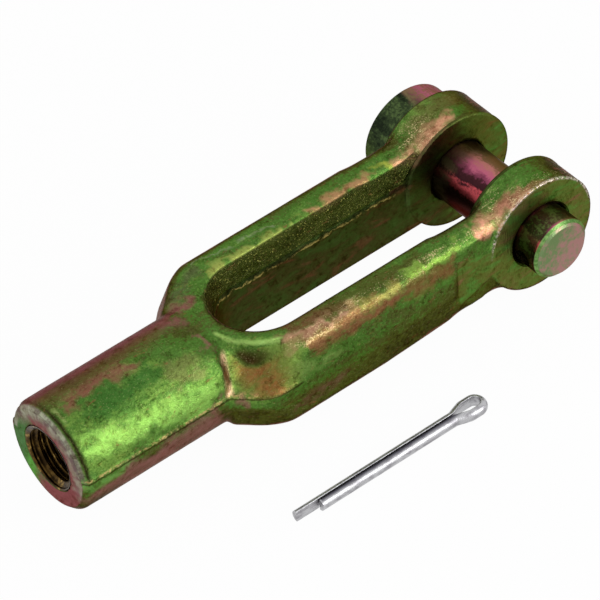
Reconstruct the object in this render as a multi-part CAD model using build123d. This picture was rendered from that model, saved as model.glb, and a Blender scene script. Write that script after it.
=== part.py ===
from build123d import *
import os
from math import atan2, degrees, radians, sqrt, tan

# Forged clevis rod end: a fork with a tapped shank, its headed clevis pin, and the split pin
# that locks it, lying loose beside the fork.
# Millimetres. +X runs along the thread axis from the mouth to the ears, +Y along the clevis
# pin to its head, +Z up. The origin is where the two axes cross.

# Jaw and ears
JAW_GAP = 16.0
EAR_THICKNESS_NEAR = 7.9
EAR_THICKNESS_FAR = 9.0
EAR_RADIUS = 12.3
PIN_DIAMETER = 12.7
PIN_CLEARANCE = 0.25
BORE_CHAMFER = 0.5
EAR_BLEND = 6.0
EAR_SINK = 0.1
FACING_RADIUS = 20.5

# Arms: drafted above and below a trimmed parting band. The near one leans in towards its ear
ARM_OUTER = 17.1
ARM_HEIGHT = 19.0
ARM_LEAN_START = 38.0
ARM_LEAN_SINK = 0.4
PARTING_BAND = 2.6
DRAFT_ANGLE = 7.0
ARM_OUTER_ROUND = 2.6
ARM_INNER_ROUND = 1.7

# Slot: punched straight through up to the punch line, drafted above it
SLOT_HALF_WIDTH = 8.4
SLOT_DRAFT = 9.0
PUNCH_LINE = 3.0
CROTCH_CENTRE = 54.3

# Shoulder between shank and arms
NECK_HALF_WIDTH = 10.4
SHOULDER_START = 71.6
SHOULDER_ANGLE = 45.0
SHOULDER_ROUND = 8.0
SHOULDER_TOP_ROUND = 16.0
SHOULDER_DRAFT = 20.0
SHOULDER_EASE = 2.0

# Shank
CENTRE_TO_END = 103.6
SHANK_RADIUS = 11.3
SHANK_END = 66.0
FADE_START = 75.5
FADE_END = 67.6
FADE_ROUND = 20.0
MOUTH_CHAMFER = 1.15
LIP_GROOVE_RADIUS = 0.45
FLASH_PROUD_NEAR = 0.15
FLASH_PROUD_FAR = 0.5
FLASH_SETBACK = 0.3
FLASH_CHAMFER = 0.8

# Tapped hole, modelled at its tapping size
TAP_DRILL_DIAMETER = 10.8
COUNTERSINK_DIAMETER = 12.9
COUNTERSINK_DEPTH = 0.8

# Forged pocket beside the crotch
POCKET_RIM_RADIUS = 12.9
POCKET_TOP_EDGE = 2.6
POCKET_LIP_X = 66.0
POCKET_LIP_Y = 8.2
POCKET_FOOT_X = 71.4
POCKET_FOOT_Y = 10.2
POCKET_START = 69.4
POCKET_END = 58.6
POCKET_DRAFT = 6.0
POCKET_FLOOR_ANGLE = 23.0
POCKET_RAMP_EDGE = 1.8
POCKET_RAMP_FALL = 13.0

# Clevis pin
PIN_LENGTH = 40.0
PIN_STAND_OFF = 1.0
PIN_END_CHAMFER = 0.9
HEAD_DIAMETER = 20.0
HEAD_THICKNESS = 5.8
HEAD_CHAMFER = 0.4
CROSS_HOLE_DIAMETER = 3.7
CROSS_HOLE_FROM_END = 4.2
CROSS_HOLE_TURN = 9.0

# Split pin: half-round wire folded back on itself, flat side inward
SPLIT_WIRE_RADIUS = 1.28
SPLIT_LEG_GAP = 0.4
SPLIT_LONG_LEG = 36.9
SPLIT_SHORT_LEG = 31.9
SPLIT_FLARE_LENGTH = 2.9
SPLIT_EYE_LENGTH = 6.1
SPLIT_EYE_HALF_WIDTH = 1.2
SPLIT_FLARE_ROUND = 3.0
SPLIT_NOSE_ROUND = 1.15
SPLIT_TIP_CHAMFER = 0.35
SPLIT_PLACE_X = -36.5
SPLIT_PLACE_Y = -33.2

# Derived sizes
JAW_HALF = JAW_GAP / 2
EAR_NEAR = JAW_HALF + EAR_THICKNESS_NEAR
EAR_FAR = JAW_HALF + EAR_THICKNESS_FAR
ARM_TOP = ARM_HEIGHT / 2
BAND_TOP = PARTING_BAND / 2
BORE_RADIUS = PIN_DIAMETER / 2 + PIN_CLEARANCE
OVERCUT = 5.0


def box_between(low, high):
    """A box from its low corner to its high corner."""
    size = [high[i] - low[i] for i in range(3)]
    middle = [(high[i] + low[i]) / 2 for i in range(3)]
    return Pos(*middle) * Box(*size)


def cylinder_along_y(radius, start, end):
    """A cylinder about the clevis pin's axis, from y = start to y = end."""
    return extrude(Plane.XZ.offset(-start) * Circle(radius), -(end - start))


def yoke_outline(arm_outer, corner_round):
    """Plan of the shoulders and arms at the parting plane."""
    run = (arm_outer - NECK_HALF_WIDTH) / tan(radians(SHOULDER_ANGLE))
    shoulder_end = SHOULDER_START - run
    outline = Polygon(
        (-SHOULDER_START, -NECK_HALF_WIDTH),
        (-shoulder_end, -arm_outer),
        (-ARM_LEAN_START, -arm_outer),
        (0, ARM_LEAN_SINK - EAR_NEAR),
        (0, arm_outer),
        (-shoulder_end, arm_outer),
        (-SHOULDER_START, NECK_HALF_WIDTH),
        align=None,
    )
    corners = [v for v in outline.vertices() if abs(v.X + shoulder_end) < 0.01]
    return Pos(0, 0, BAND_TOP) * fillet(corners, corner_round)


def slot_outline():
    """Plan of the slot: a round crotch that runs out past the ears."""
    length = CROTCH_CENTRE + EAR_RADIUS + OVERCUT
    middle = -CROTCH_CENTRE + length / 2
    straight = Pos(middle, 0) * Rectangle(length, 2 * SLOT_HALF_WIDTH)
    return straight + Pos(-CROTCH_CENTRE, 0) * Circle(SLOT_HALF_WIDTH)


def yoke_profile():
    """Side view of the yoke: level arms that sweep up into the ears."""
    arm = Pos(-SHOULDER_START / 2, 0) * Rectangle(SHOULDER_START, ARM_HEIGHT)
    profile = arm + Circle(EAR_RADIUS - EAR_SINK)
    inner = [v for v in profile.vertices() if -EAR_RADIUS < v.X < -1]
    return fillet(inner, EAR_BLEND)


def yoke():
    """Shoulders and arms with the slot, drafted away from the parting band."""
    outline = yoke_outline(ARM_OUTER, SHOULDER_ROUND)
    band = extrude(outline, -PARTING_BAND)
    upper = extrude(outline, EAR_RADIUS - BAND_TOP, taper=DRAFT_ANGLE)
    upper = upper & extrude(Plane.XZ * yoke_profile(), ARM_OUTER, both=True)
    upper = round_top(upper) - shoulder_cutter()
    body = band + upper + mirror(upper, Plane.XY)
    return round_slot_rims(body - slot_cutter())


def round_top(upper):
    """Round the long upper edges of a drafted half."""
    edges = upper.edges().filter_by(lambda e: e.center().Z > ARM_TOP - 0.01)
    outer = edges.filter_by(lambda e: abs(e.center().Y) > JAW_HALF)
    return fillet(outer, crest_round(ARM_OUTER_ROUND))


def crest_round(radius):
    """Radius of a round, no more than its share of the crest of the near ear."""
    crest = EAR_RADIUS - EAR_SINK
    outer = EAR_NEAR - ARM_LEAN_SINK - (crest - BAND_TOP) * tan(radians(DRAFT_ANGLE))
    inner = SLOT_HALF_WIDTH + (crest - PUNCH_LINE) * tan(radians(SLOT_DRAFT))
    share = radius / (ARM_OUTER_ROUND + ARM_INNER_ROUND)
    return min(radius, share * (outer - inner))


def shoulder_cutter():
    """Cutter that gives the shoulders their steeper draft."""
    outline = yoke_outline(ARM_OUTER + SHOULDER_EASE, SHOULDER_TOP_ROUND)
    reach = ARM_OUTER + OVERCUT
    low = (-CENTRE_TO_END, -reach, BAND_TOP)
    kept = extrude(outline, EAR_RADIUS - BAND_TOP, taper=SHOULDER_DRAFT)
    kept = round_top(kept & box_between(low, (-CROTCH_CENTRE, reach, ARM_TOP)))
    return box_between(low, (-CROTCH_CENTRE, reach, EAR_RADIUS)) - kept


def slot_cutter():
    """The punched slot with its drafted upper part."""
    slot = slot_outline()
    straight = Pos(0, 0, -EAR_RADIUS - OVERCUT) * extrude(slot, EAR_RADIUS + OVERCUT + PUNCH_LINE)
    drafted = extrude(Pos(0, 0, PUNCH_LINE) * slot, EAR_RADIUS - PUNCH_LINE, taper=-SLOT_DRAFT)
    return straight + drafted


def round_slot_rims(body):
    """Round the slot's upper and lower rims, round the crotch and along both arms."""
    widest = SLOT_HALF_WIDTH + (EAR_RADIUS - PUNCH_LINE) * tan(radians(SLOT_DRAFT))
    crotch = -CROTCH_CENTRE - widest
    rims = []
    for edge in body.edges():
        middle = edge.center()
        inside = abs(middle.Y) < widest and middle.X > crotch
        if inside and abs(middle.Z) > ARM_TOP - 0.01:
            rims.append(edge)
    return fillet(rims, crest_round(ARM_INNER_ROUND))


def shank():
    """Round shank with a chamfered mouth, flattening into the top and bottom of the yoke."""
    turned = Plane.YZ.offset(-CENTRE_TO_END) * Circle(SHANK_RADIUS)
    turned = extrude(turned, CENTRE_TO_END - SHANK_END)
    turned = chamfer(turned.edges().sort_by(Axis.X)[0], MOUTH_CHAMFER)
    turned = turned - shank_fade() - mirror(shank_fade(), Plane.XY) - lip_groove()
    start = -CENTRE_TO_END + FLASH_SETBACK
    low = (start, -SHANK_RADIUS - FLASH_PROUD_NEAR, -BAND_TOP)
    high = (-SHANK_END, SHANK_RADIUS + FLASH_PROUD_FAR, BAND_TOP)
    flash = box_between(low, high)
    front = flash.edges().filter_by(Axis.Z).group_by(Axis.X)[0]
    return turned + chamfer(front, FLASH_CHAMFER)


def shank_fade():
    """Cutter that eases the shank's top line down to the top of the yoke."""
    crest = SHANK_RADIUS + OVERCUT
    side = Polygon(
        (-CENTRE_TO_END, SHANK_RADIUS),
        (-FADE_START, SHANK_RADIUS),
        (-FADE_END, ARM_TOP),
        (-CROTCH_CENTRE, ARM_TOP),
        (-CROTCH_CENTRE, crest),
        (-CENTRE_TO_END, crest),
        align=None,
    )
    bends = [v for v in side.vertices() if -FADE_START - 1 < v.X < -FADE_END + 1]
    return extrude(Plane.XZ * fillet(bends, FADE_ROUND), SHANK_RADIUS, both=True)


def lip_groove():
    """Cutter for the shallow groove behind the lip of the mouth, above the parting band."""
    ring = Torus(SHANK_RADIUS, LIP_GROOVE_RADIUS)
    ring = Pos(-CENTRE_TO_END + MOUTH_CHAMFER, 0, 0) * Rot(0, 90, 0) * ring
    reach = SHANK_RADIUS + OVERCUT
    return ring & box_between((-CENTRE_TO_END, -reach, BAND_TOP), (-SHANK_END, reach, reach))


def tapped_hole():
    """Cutter for the tapped hole, from the mouth through into the slot."""
    mouth = -CENTRE_TO_END
    hole = Plane.YZ.offset(mouth - OVERCUT) * Circle(TAP_DRILL_DIAMETER / 2)
    hole = extrude(hole, CENTRE_TO_END - CROTCH_CENTRE + OVERCUT)
    rim = COUNTERSINK_DIAMETER / 2
    floor = TAP_DRILL_DIAMETER / 2
    sink = Pos(mouth + COUNTERSINK_DEPTH / 2, 0, 0) * Rot(0, 90, 0) * Cone(
        rim, floor, COUNTERSINK_DEPTH)
    return hole + sink


def pocket_rim():
    """The drafted rim round the crotch that stays standing beside the pocket."""
    spread = SHANK_RADIUS * tan(radians(POCKET_DRAFT))
    rim = Cone(POCKET_RIM_RADIUS + spread, POCKET_RIM_RADIUS - spread, 2 * SHANK_RADIUS)
    return Pos(-CROTCH_CENTRE, 0, ARM_TOP) * rim


def pocket():
    """Cutter for the pocket beside the crotch: a steep rim wall over a sloping floor."""
    far = SHOULDER_START + ARM_OUTER
    corner = sqrt(POCKET_RIM_RADIUS ** 2 - (POCKET_END - CROTCH_CENTRE) ** 2)
    plan = Polygon(
        (-POCKET_END, -POCKET_TOP_EDGE),
        (-POCKET_LIP_X, -POCKET_TOP_EDGE),
        (-POCKET_START, -POCKET_LIP_Y),
        (-POCKET_START, -POCKET_FOOT_Y),
        (-POCKET_FOOT_X, -SHANK_RADIUS),
        (-POCKET_FOOT_X, -corner - POCKET_FOOT_X + POCKET_END),
        (-POCKET_END, -corner),
        align=None,
    )
    cutter = extrude(plan, far, dir=(0, 0, 1)) - pocket_rim()
    hinge = Pos(-SHOULDER_START, -NECK_HALF_WIDTH, BAND_TOP) * Rot(0, 0, -SHOULDER_ANGLE)
    floor = hinge * Rot(POCKET_FLOOR_ANGLE, 0, 0) * Pos(0, 0, -far) * Box(2 * far, 4 * far, 2 * far)
    return cutter - floor + pocket_ramp()


def pocket_ramp():
    """Cutter that eases the shank down to the foot of the rim above the pocket."""
    plan = Pos(-POCKET_START, -POCKET_RAMP_EDGE) * Rectangle(
        SHANK_RADIUS, SHANK_RADIUS, align=(Align.CENTER, Align.MAX))
    cutter = extrude(plan, SHANK_RADIUS, dir=(0, 0, 1)) - pocket_rim()
    rise = degrees(atan2(SHANK_RADIUS - ARM_TOP, FADE_START - FADE_END))
    slope = Pos(-FADE_END, -POCKET_RAMP_EDGE, ARM_TOP) * Rot(POCKET_RAMP_FALL, rise, 0)
    size = CENTRE_TO_END
    return cutter - slope * Pos(0, 0, -size / 2) * Box(size, size, size)


def facing_cut():
    """Cutter that mills the ears' outer sides flat, past the ends of the arms."""
    near = cylinder_along_y(FACING_RADIUS, -ARM_OUTER - OVERCUT, -EAR_NEAR)
    far = cylinder_along_y(FACING_RADIUS, EAR_FAR, ARM_OUTER + OVERCUT)
    return near + far


def ear_bore():
    """Cutter for both ears' bores, with the chamfer at each outer rim."""
    bore = cylinder_along_y(BORE_RADIUS, -EAR_NEAR - OVERCUT, EAR_FAR + OVERCUT)
    rim = Rot(-90, 0, 0) * Cone(BORE_RADIUS, BORE_RADIUS + BORE_CHAMFER, BORE_CHAMFER)
    far = Pos(0, EAR_FAR - BORE_CHAMFER / 2, 0) * rim
    near = Pos(0, BORE_CHAMFER / 2 - EAR_NEAR, 0) * mirror(rim, Plane.XZ)
    return bore + far + near


def fork():
    """The whole forging, machined."""
    body = yoke() + shank() - pocket()
    body = body + cylinder_along_y(EAR_RADIUS, -EAR_NEAR, -JAW_HALF)
    body = body + cylinder_along_y(EAR_RADIUS, JAW_HALF, EAR_FAR)
    return body - facing_cut() - ear_bore() - tapped_hole()


def clevis_pin():
    """Headed pin with a chamfered end and the hole for the split pin."""
    under_head = EAR_FAR + PIN_STAND_OFF
    end = under_head - PIN_LENGTH
    shaft = cylinder_along_y(PIN_DIAMETER / 2, end, under_head)
    shaft = chamfer(shaft.edges().sort_by(Axis.Y)[0], PIN_END_CHAMFER)
    head = cylinder_along_y(HEAD_DIAMETER / 2, under_head, under_head + HEAD_THICKNESS)
    head = chamfer(head.edges().filter_by(GeomType.CIRCLE), HEAD_CHAMFER)
    hole = extrude(Plane.YZ * Circle(CROSS_HOLE_DIAMETER / 2), PIN_DIAMETER, both=True)
    hole = Pos(0, end + CROSS_HOLE_FROM_END, 0) * Rot(0, -CROSS_HOLE_TURN, 0) * hole
    return shaft + head - hole


def split_path():
    """Centre of the wire's flat side, from the long leg's tip round the eye and back."""
    gap = SPLIT_LEG_GAP / 2
    wire = Polyline(
        (-SPLIT_LONG_LEG, gap),
        (0, gap),
        (SPLIT_FLARE_LENGTH, SPLIT_EYE_HALF_WIDTH),
        (SPLIT_EYE_LENGTH, SPLIT_EYE_HALF_WIDTH),
        (SPLIT_EYE_LENGTH, -SPLIT_EYE_HALF_WIDTH),
        (SPLIT_FLARE_LENGTH, -SPLIT_EYE_HALF_WIDTH),
        (0, -gap),
        (-SPLIT_SHORT_LEG, -gap),
    )
    nose = [v for v in wire.vertices() if abs(v.X - SPLIT_EYE_LENGTH) < 0.01]
    wire = fillet(nose, SPLIT_NOSE_ROUND)
    bends = [v for v in wire.vertices() if -0.01 < v.X < SPLIT_FLARE_LENGTH + 0.01]
    return fillet(bends, SPLIT_FLARE_ROUND)


def split_pin():
    """Split pin of half-round wire, lying on its side beside the fork."""
    section = Circle(SPLIT_WIRE_RADIUS) - Pos(-SPLIT_WIRE_RADIUS, 0) * Rectangle(
        2 * SPLIT_WIRE_RADIUS, 2 * SPLIT_WIRE_RADIUS)
    start = Plane((-SPLIT_LONG_LEG, SPLIT_LEG_GAP / 2, 0), x_dir=(0, 1, 0), z_dir=(1, 0, 0))
    wire = sweep(start * section, path=split_path(), transition=Transition.RIGHT)
    tips = [f for f in wire.faces().filter_by(Axis.X) if f.center().X < -SPLIT_SHORT_LEG / 2]
    wire = chamfer([e for f in tips for e in f.edges()], SPLIT_TIP_CHAMFER)
    return Pos(SPLIT_PLACE_X, SPLIT_PLACE_Y, SPLIT_WIRE_RADIUS - EAR_RADIUS) * wire


def main():
    """Write one file for each separate piece."""
    os.makedirs("parts", exist_ok=True)
    export_step(fork(), "parts/fork.step")
    export_step(clevis_pin(), "parts/clevis_pin.step")
    export_step(split_pin(), "parts/split_pin.step")


main()
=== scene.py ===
"""Looks of the clevis rod end: forged fork, tapped hole, clevis pin and split pin."""

import logging
import math
from collections.abc import Iterable
from dataclasses import dataclass
from enum import Enum
from functools import cached_property, reduce
from typing import TypeAlias

import bmesh
import bpy
from bpy.types import ColorRamp, ID, Material, Node, NodeSocket, NodeTree, Object
from mathutils import Matrix, Vector


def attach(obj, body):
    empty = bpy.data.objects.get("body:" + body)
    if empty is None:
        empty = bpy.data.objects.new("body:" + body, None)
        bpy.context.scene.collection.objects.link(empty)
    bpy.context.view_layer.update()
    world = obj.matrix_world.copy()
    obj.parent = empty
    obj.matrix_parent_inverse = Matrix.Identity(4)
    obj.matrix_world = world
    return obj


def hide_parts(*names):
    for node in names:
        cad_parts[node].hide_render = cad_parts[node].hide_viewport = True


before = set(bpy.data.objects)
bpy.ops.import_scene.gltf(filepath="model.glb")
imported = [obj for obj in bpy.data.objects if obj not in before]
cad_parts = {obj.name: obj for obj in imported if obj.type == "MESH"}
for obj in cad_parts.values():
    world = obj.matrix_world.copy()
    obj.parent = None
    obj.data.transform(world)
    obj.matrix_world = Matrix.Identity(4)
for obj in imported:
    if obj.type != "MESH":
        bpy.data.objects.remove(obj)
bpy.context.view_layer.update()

log = logging.getLogger("clevis_rod_end")
MM = 0.001
MERGE = 0.001 * MM
ZINC_TINT = (0.45, 0.38, 0.36, 1.0)

Value: TypeAlias = "Socket | float"
Point = tuple[float, float, float]
Colour = tuple[int, int, int]
Profile = list[tuple[float, float]]
Stops = list[tuple[float, Colour]]
Layers: TypeAlias = "Iterable[tuple[Socket, Socket | Colour]]"


def linear(colour: Colour) -> tuple[float, float, float, float]:
    """A colour given as it looks on screen, 0 to 255, as an opaque linear one."""
    parts = (value / 255 for value in colour)
    return (*(p / 12.92 if p <= 0.04045 else ((p + 0.055) / 1.055) ** 2.4 for p in parts), 1.0)


# ---------------------------------------------------------------- node maths


class Socket:
    """An output socket that Python's operators turn into nodes of the same tree."""

    def __init__(self, graph: "Graph", link: NodeSocket) -> None:
        """Wrap one output socket."""
        self.graph = graph
        self.link = link

    def __add__(self, other: Value) -> "Socket":
        """Sum."""
        return self.graph.math("ADD", self, other)

    def __sub__(self, other: Value) -> "Socket":
        """Difference."""
        return self.graph.math("SUBTRACT", self, other)

    def __mul__(self, other: Value) -> "Socket":
        """Product."""
        return self.graph.math("MULTIPLY", self, other)

    def __truediv__(self, other: Value) -> "Socket":
        """Quotient."""
        return self.graph.math("DIVIDE", self, other)

    def __radd__(self, other: float) -> "Socket":
        """Number plus socket."""
        return self.graph.math("ADD", other, self)

    def __rsub__(self, other: float) -> "Socket":
        """Number minus socket."""
        return self.graph.math("SUBTRACT", other, self)

    def __rmul__(self, other: float) -> "Socket":
        """Number times socket."""
        return self.graph.math("MULTIPLY", other, self)

    def __abs__(self) -> "Socket":
        """Absolute value."""
        return self.graph.math("ABSOLUTE", self)


class Graph:
    """A shader or geometry node tree under construction."""

    def __init__(self, tree: NodeTree) -> None:
        """Start from the tree that the new nodes go into."""
        self.tree = tree

    def node(self, kind: str, settings: dict | None = None, inputs: dict | None = None) -> Node:
        """Add a node.

        Args:
            kind: The node's type name.
            settings: Properties that are set before the sockets.
            inputs: Values or links by socket name or index.

        Returns:
            The new node.
        """
        node = self.tree.nodes.new(kind)
        for name, value in (settings or {}).items():
            if name == "stops":
                self._set_stops(node.color_ramp, value)
            else:
                setattr(node, name, value)
        for key, value in (inputs or {}).items():
            self.plug(node, key, value)
        return node

    def made(self, kind: str, settings: dict | None = None, inputs: dict | None = None,
             key: str | int = 0) -> Socket:
        """Add a node and wrap one of its outputs."""
        return self.out(self.node(kind, settings, inputs), key)

    def plug(self, node: Node, key: str | int, value: object) -> None:
        """Give one of a node's inputs a link or a value.

        Args:
            node: The node.
            key: Name of an enabled input, or index of any input.
            value: A socket to link, or the value itself.
        """
        by_name = (s for s in node.inputs if s.name == key and s.enabled)
        socket = node.inputs[key] if isinstance(key, int) else next(by_name)
        if isinstance(value, Socket):
            self.tree.links.new(value.link, socket)
        else:
            socket.default_value = value

    @staticmethod
    def _set_stops(ramp: ColorRamp, stops: Stops) -> None:
        """Give a colour ramp its stops.

        Args:
            ramp: The ramp.
            stops: Places from 0 to 1 and their colours.
        """
        ramp.interpolation = "EASE"
        while len(ramp.elements) < len(stops):
            ramp.elements.new(0.5)
        for element, (place, colour) in zip(ramp.elements, stops):
            element.position = place
            element.color = linear(colour)

    def out(self, node: Node, key: str | int = 0) -> Socket:
        """Wrap one enabled output of a node.

        Args:
            node: The node.
            key: Name of the output, or its index among the enabled ones.

        Returns:
            The wrapped output.
        """
        enabled = [s for s in node.outputs if s.enabled]
        index = key if isinstance(key, int) else [s.name for s in enabled].index(key)
        return Socket(self, enabled[index])

    def math(self, operation: str, *values: Value) -> Socket:
        """Add a Math node on sockets or numbers."""
        return self.made("ShaderNodeMath", {"operation": operation}, dict(enumerate(values)))

    def vector(self, operation: str, *values: Socket | Point) -> Socket:
        """Add a Vector Math node that gives a vector."""
        return self.made("ShaderNodeVectorMath", {"operation": operation}, dict(enumerate(values)))

    def measure(self, operation: str, first: Socket, second: Socket | Point) -> Socket:
        """Add a Vector Math node that gives a number."""
        return self.made("ShaderNodeVectorMath", {"operation": operation}, {0: first, 1: second}, "Value")

    def scale(self, vector: Socket | Point, factor: Value) -> Socket:
        """Multiply a vector by a number."""
        return self.made("ShaderNodeVectorMath", {"operation": "SCALE"}, {0: vector, "Scale": factor})

    def axes(self, vector: Socket) -> list[Socket]:
        """Split a vector into x, y and z."""
        node = self.node("ShaderNodeSeparateXYZ", None, {0: vector})
        return [self.out(node, axis) for axis in "XYZ"]

    def clamp(self, value: Socket) -> Socket:
        """Keep a value between 0 and 1."""
        return self.math("MINIMUM", self.math("MAXIMUM", value, 0.0), 1.0)

    def smooth(self, value: Socket, low: float, high: float) -> Socket:
        """Smooth step from 0 at low to 1 at high, where low may be the larger number.

        Args:
            value: What is measured.
            low: Where the step is at 0.
            high: Where the step is at 1.

        Returns:
            A mask from 0 to 1.
        """
        rise = self.made("ShaderNodeMapRange", {"interpolation_type": "SMOOTHSTEP"},
                         {"Value": value, "From Min": min(low, high), "From Max": max(low, high)}, "Result")
        return rise if low < high else 1 - rise

    def bell(self, value: Socket, centre: float, width: float) -> Socket:
        """A hump of height 1 round a centre, down to 0 one width away."""
        return self.smooth(abs(value - centre), width, 0.0)

    def noise(self, coords: Socket, scale: float, detail: float = 2.0, roughness: float = 0.5,
              warp: float = 0.0) -> Socket:
        """Fractal noise in 0 to 1 about 0.5."""
        return self.made("ShaderNodeTexNoise", {"noise_dimensions": "3D"}, {
            "Vector": coords, "Scale": scale, "Detail": detail, "Roughness": roughness, "Distortion": warp})

    def either(self, *masks: Socket) -> Socket:
        """The largest of several masks."""
        return reduce(lambda first, second: self.math("MAXIMUM", first, second), masks)

    def mix(self, factor: Value, first: Socket | Colour, second: Socket | Colour,
            mode: str = "MIX") -> Socket:
        """Mix two colours.

        Args:
            factor: How far the second one covers the first.
            first: A link, or a colour as it looks on screen.
            second: The other colour.
            mode: Blend type.

        Returns:
            The mixed colour.
        """
        ends = [c if isinstance(c, Socket) else linear(c) for c in (first, second)]
        return self.made("ShaderNodeMix", {"data_type": "RGBA", "blend_type": mode},
                         {"Factor": factor, "A": ends[0], "B": ends[1]}, "Result")

    def ramp(self, value: Socket, stops: Stops) -> Socket:
        """Colour ramp on a value."""
        return self.made("ShaderNodeValToRGB", {"stops": stops}, {"Fac": value}, "Color")

    def coat(self, colour: Socket, layers: Layers) -> Socket:
        """Lay colours over one another, each where its mask is.

        Args:
            colour: Colour underneath.
            layers: Masks and paints, from the lowest up, each made when its turn comes.

        Returns:
            The finished colour.
        """
        for mask, paint in layers:
            colour = self.mix(mask, colour, paint)
        return colour

    def white_rays(self) -> Socket:
        """Mask of the rays that meet the surroundings as plain white.

        Returns:
            A mask of 0 or 1.
        """
        rays = self.node("ShaderNodeLightPath")
        kinds = ("Camera", "Glossy", "Transmission")
        return self.either(*(self.out(rays, f"Is {kind} Ray") for kind in kinds))


# ------------------------------------------------------------- forging's zones


@dataclass(frozen=True)
class ForgingSizes:
    """Sizes that the fork and its finish follow, in millimetres."""

    mouth: float = -103.6
    crotch: float = -54.3
    slot_half: float = 8.4
    punch_line: float = 3.0
    arm_top: float = 9.5
    band_top: float = 1.3
    near_face: float = -15.9
    far_face: float = 17.0
    jaw_half: float = 8.0
    jaw_start: float = -13.0
    ear_radius: float = 12.3
    facing_radius: float = 20.5
    bore_radius: float = 6.6
    pocket_end: float = -58.6
    pocket_start: float = -69.4
    pocket_slant: float = -46.4
    rim_radius: float = 12.9
    near_crest: float = -14.6
    bend_reach: float = 9.0
    bends: tuple[Point, ...] = tuple((-14.0, y, z) for y in (-12.5, 12.5) for z in (-9.5, 9.5))
    sparkles: tuple[tuple[Point, float], ...] = (((-8.5, -14.2, 10.2), 7.0), ((-8.0, 9.5, 10.6), 8.0))


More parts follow.
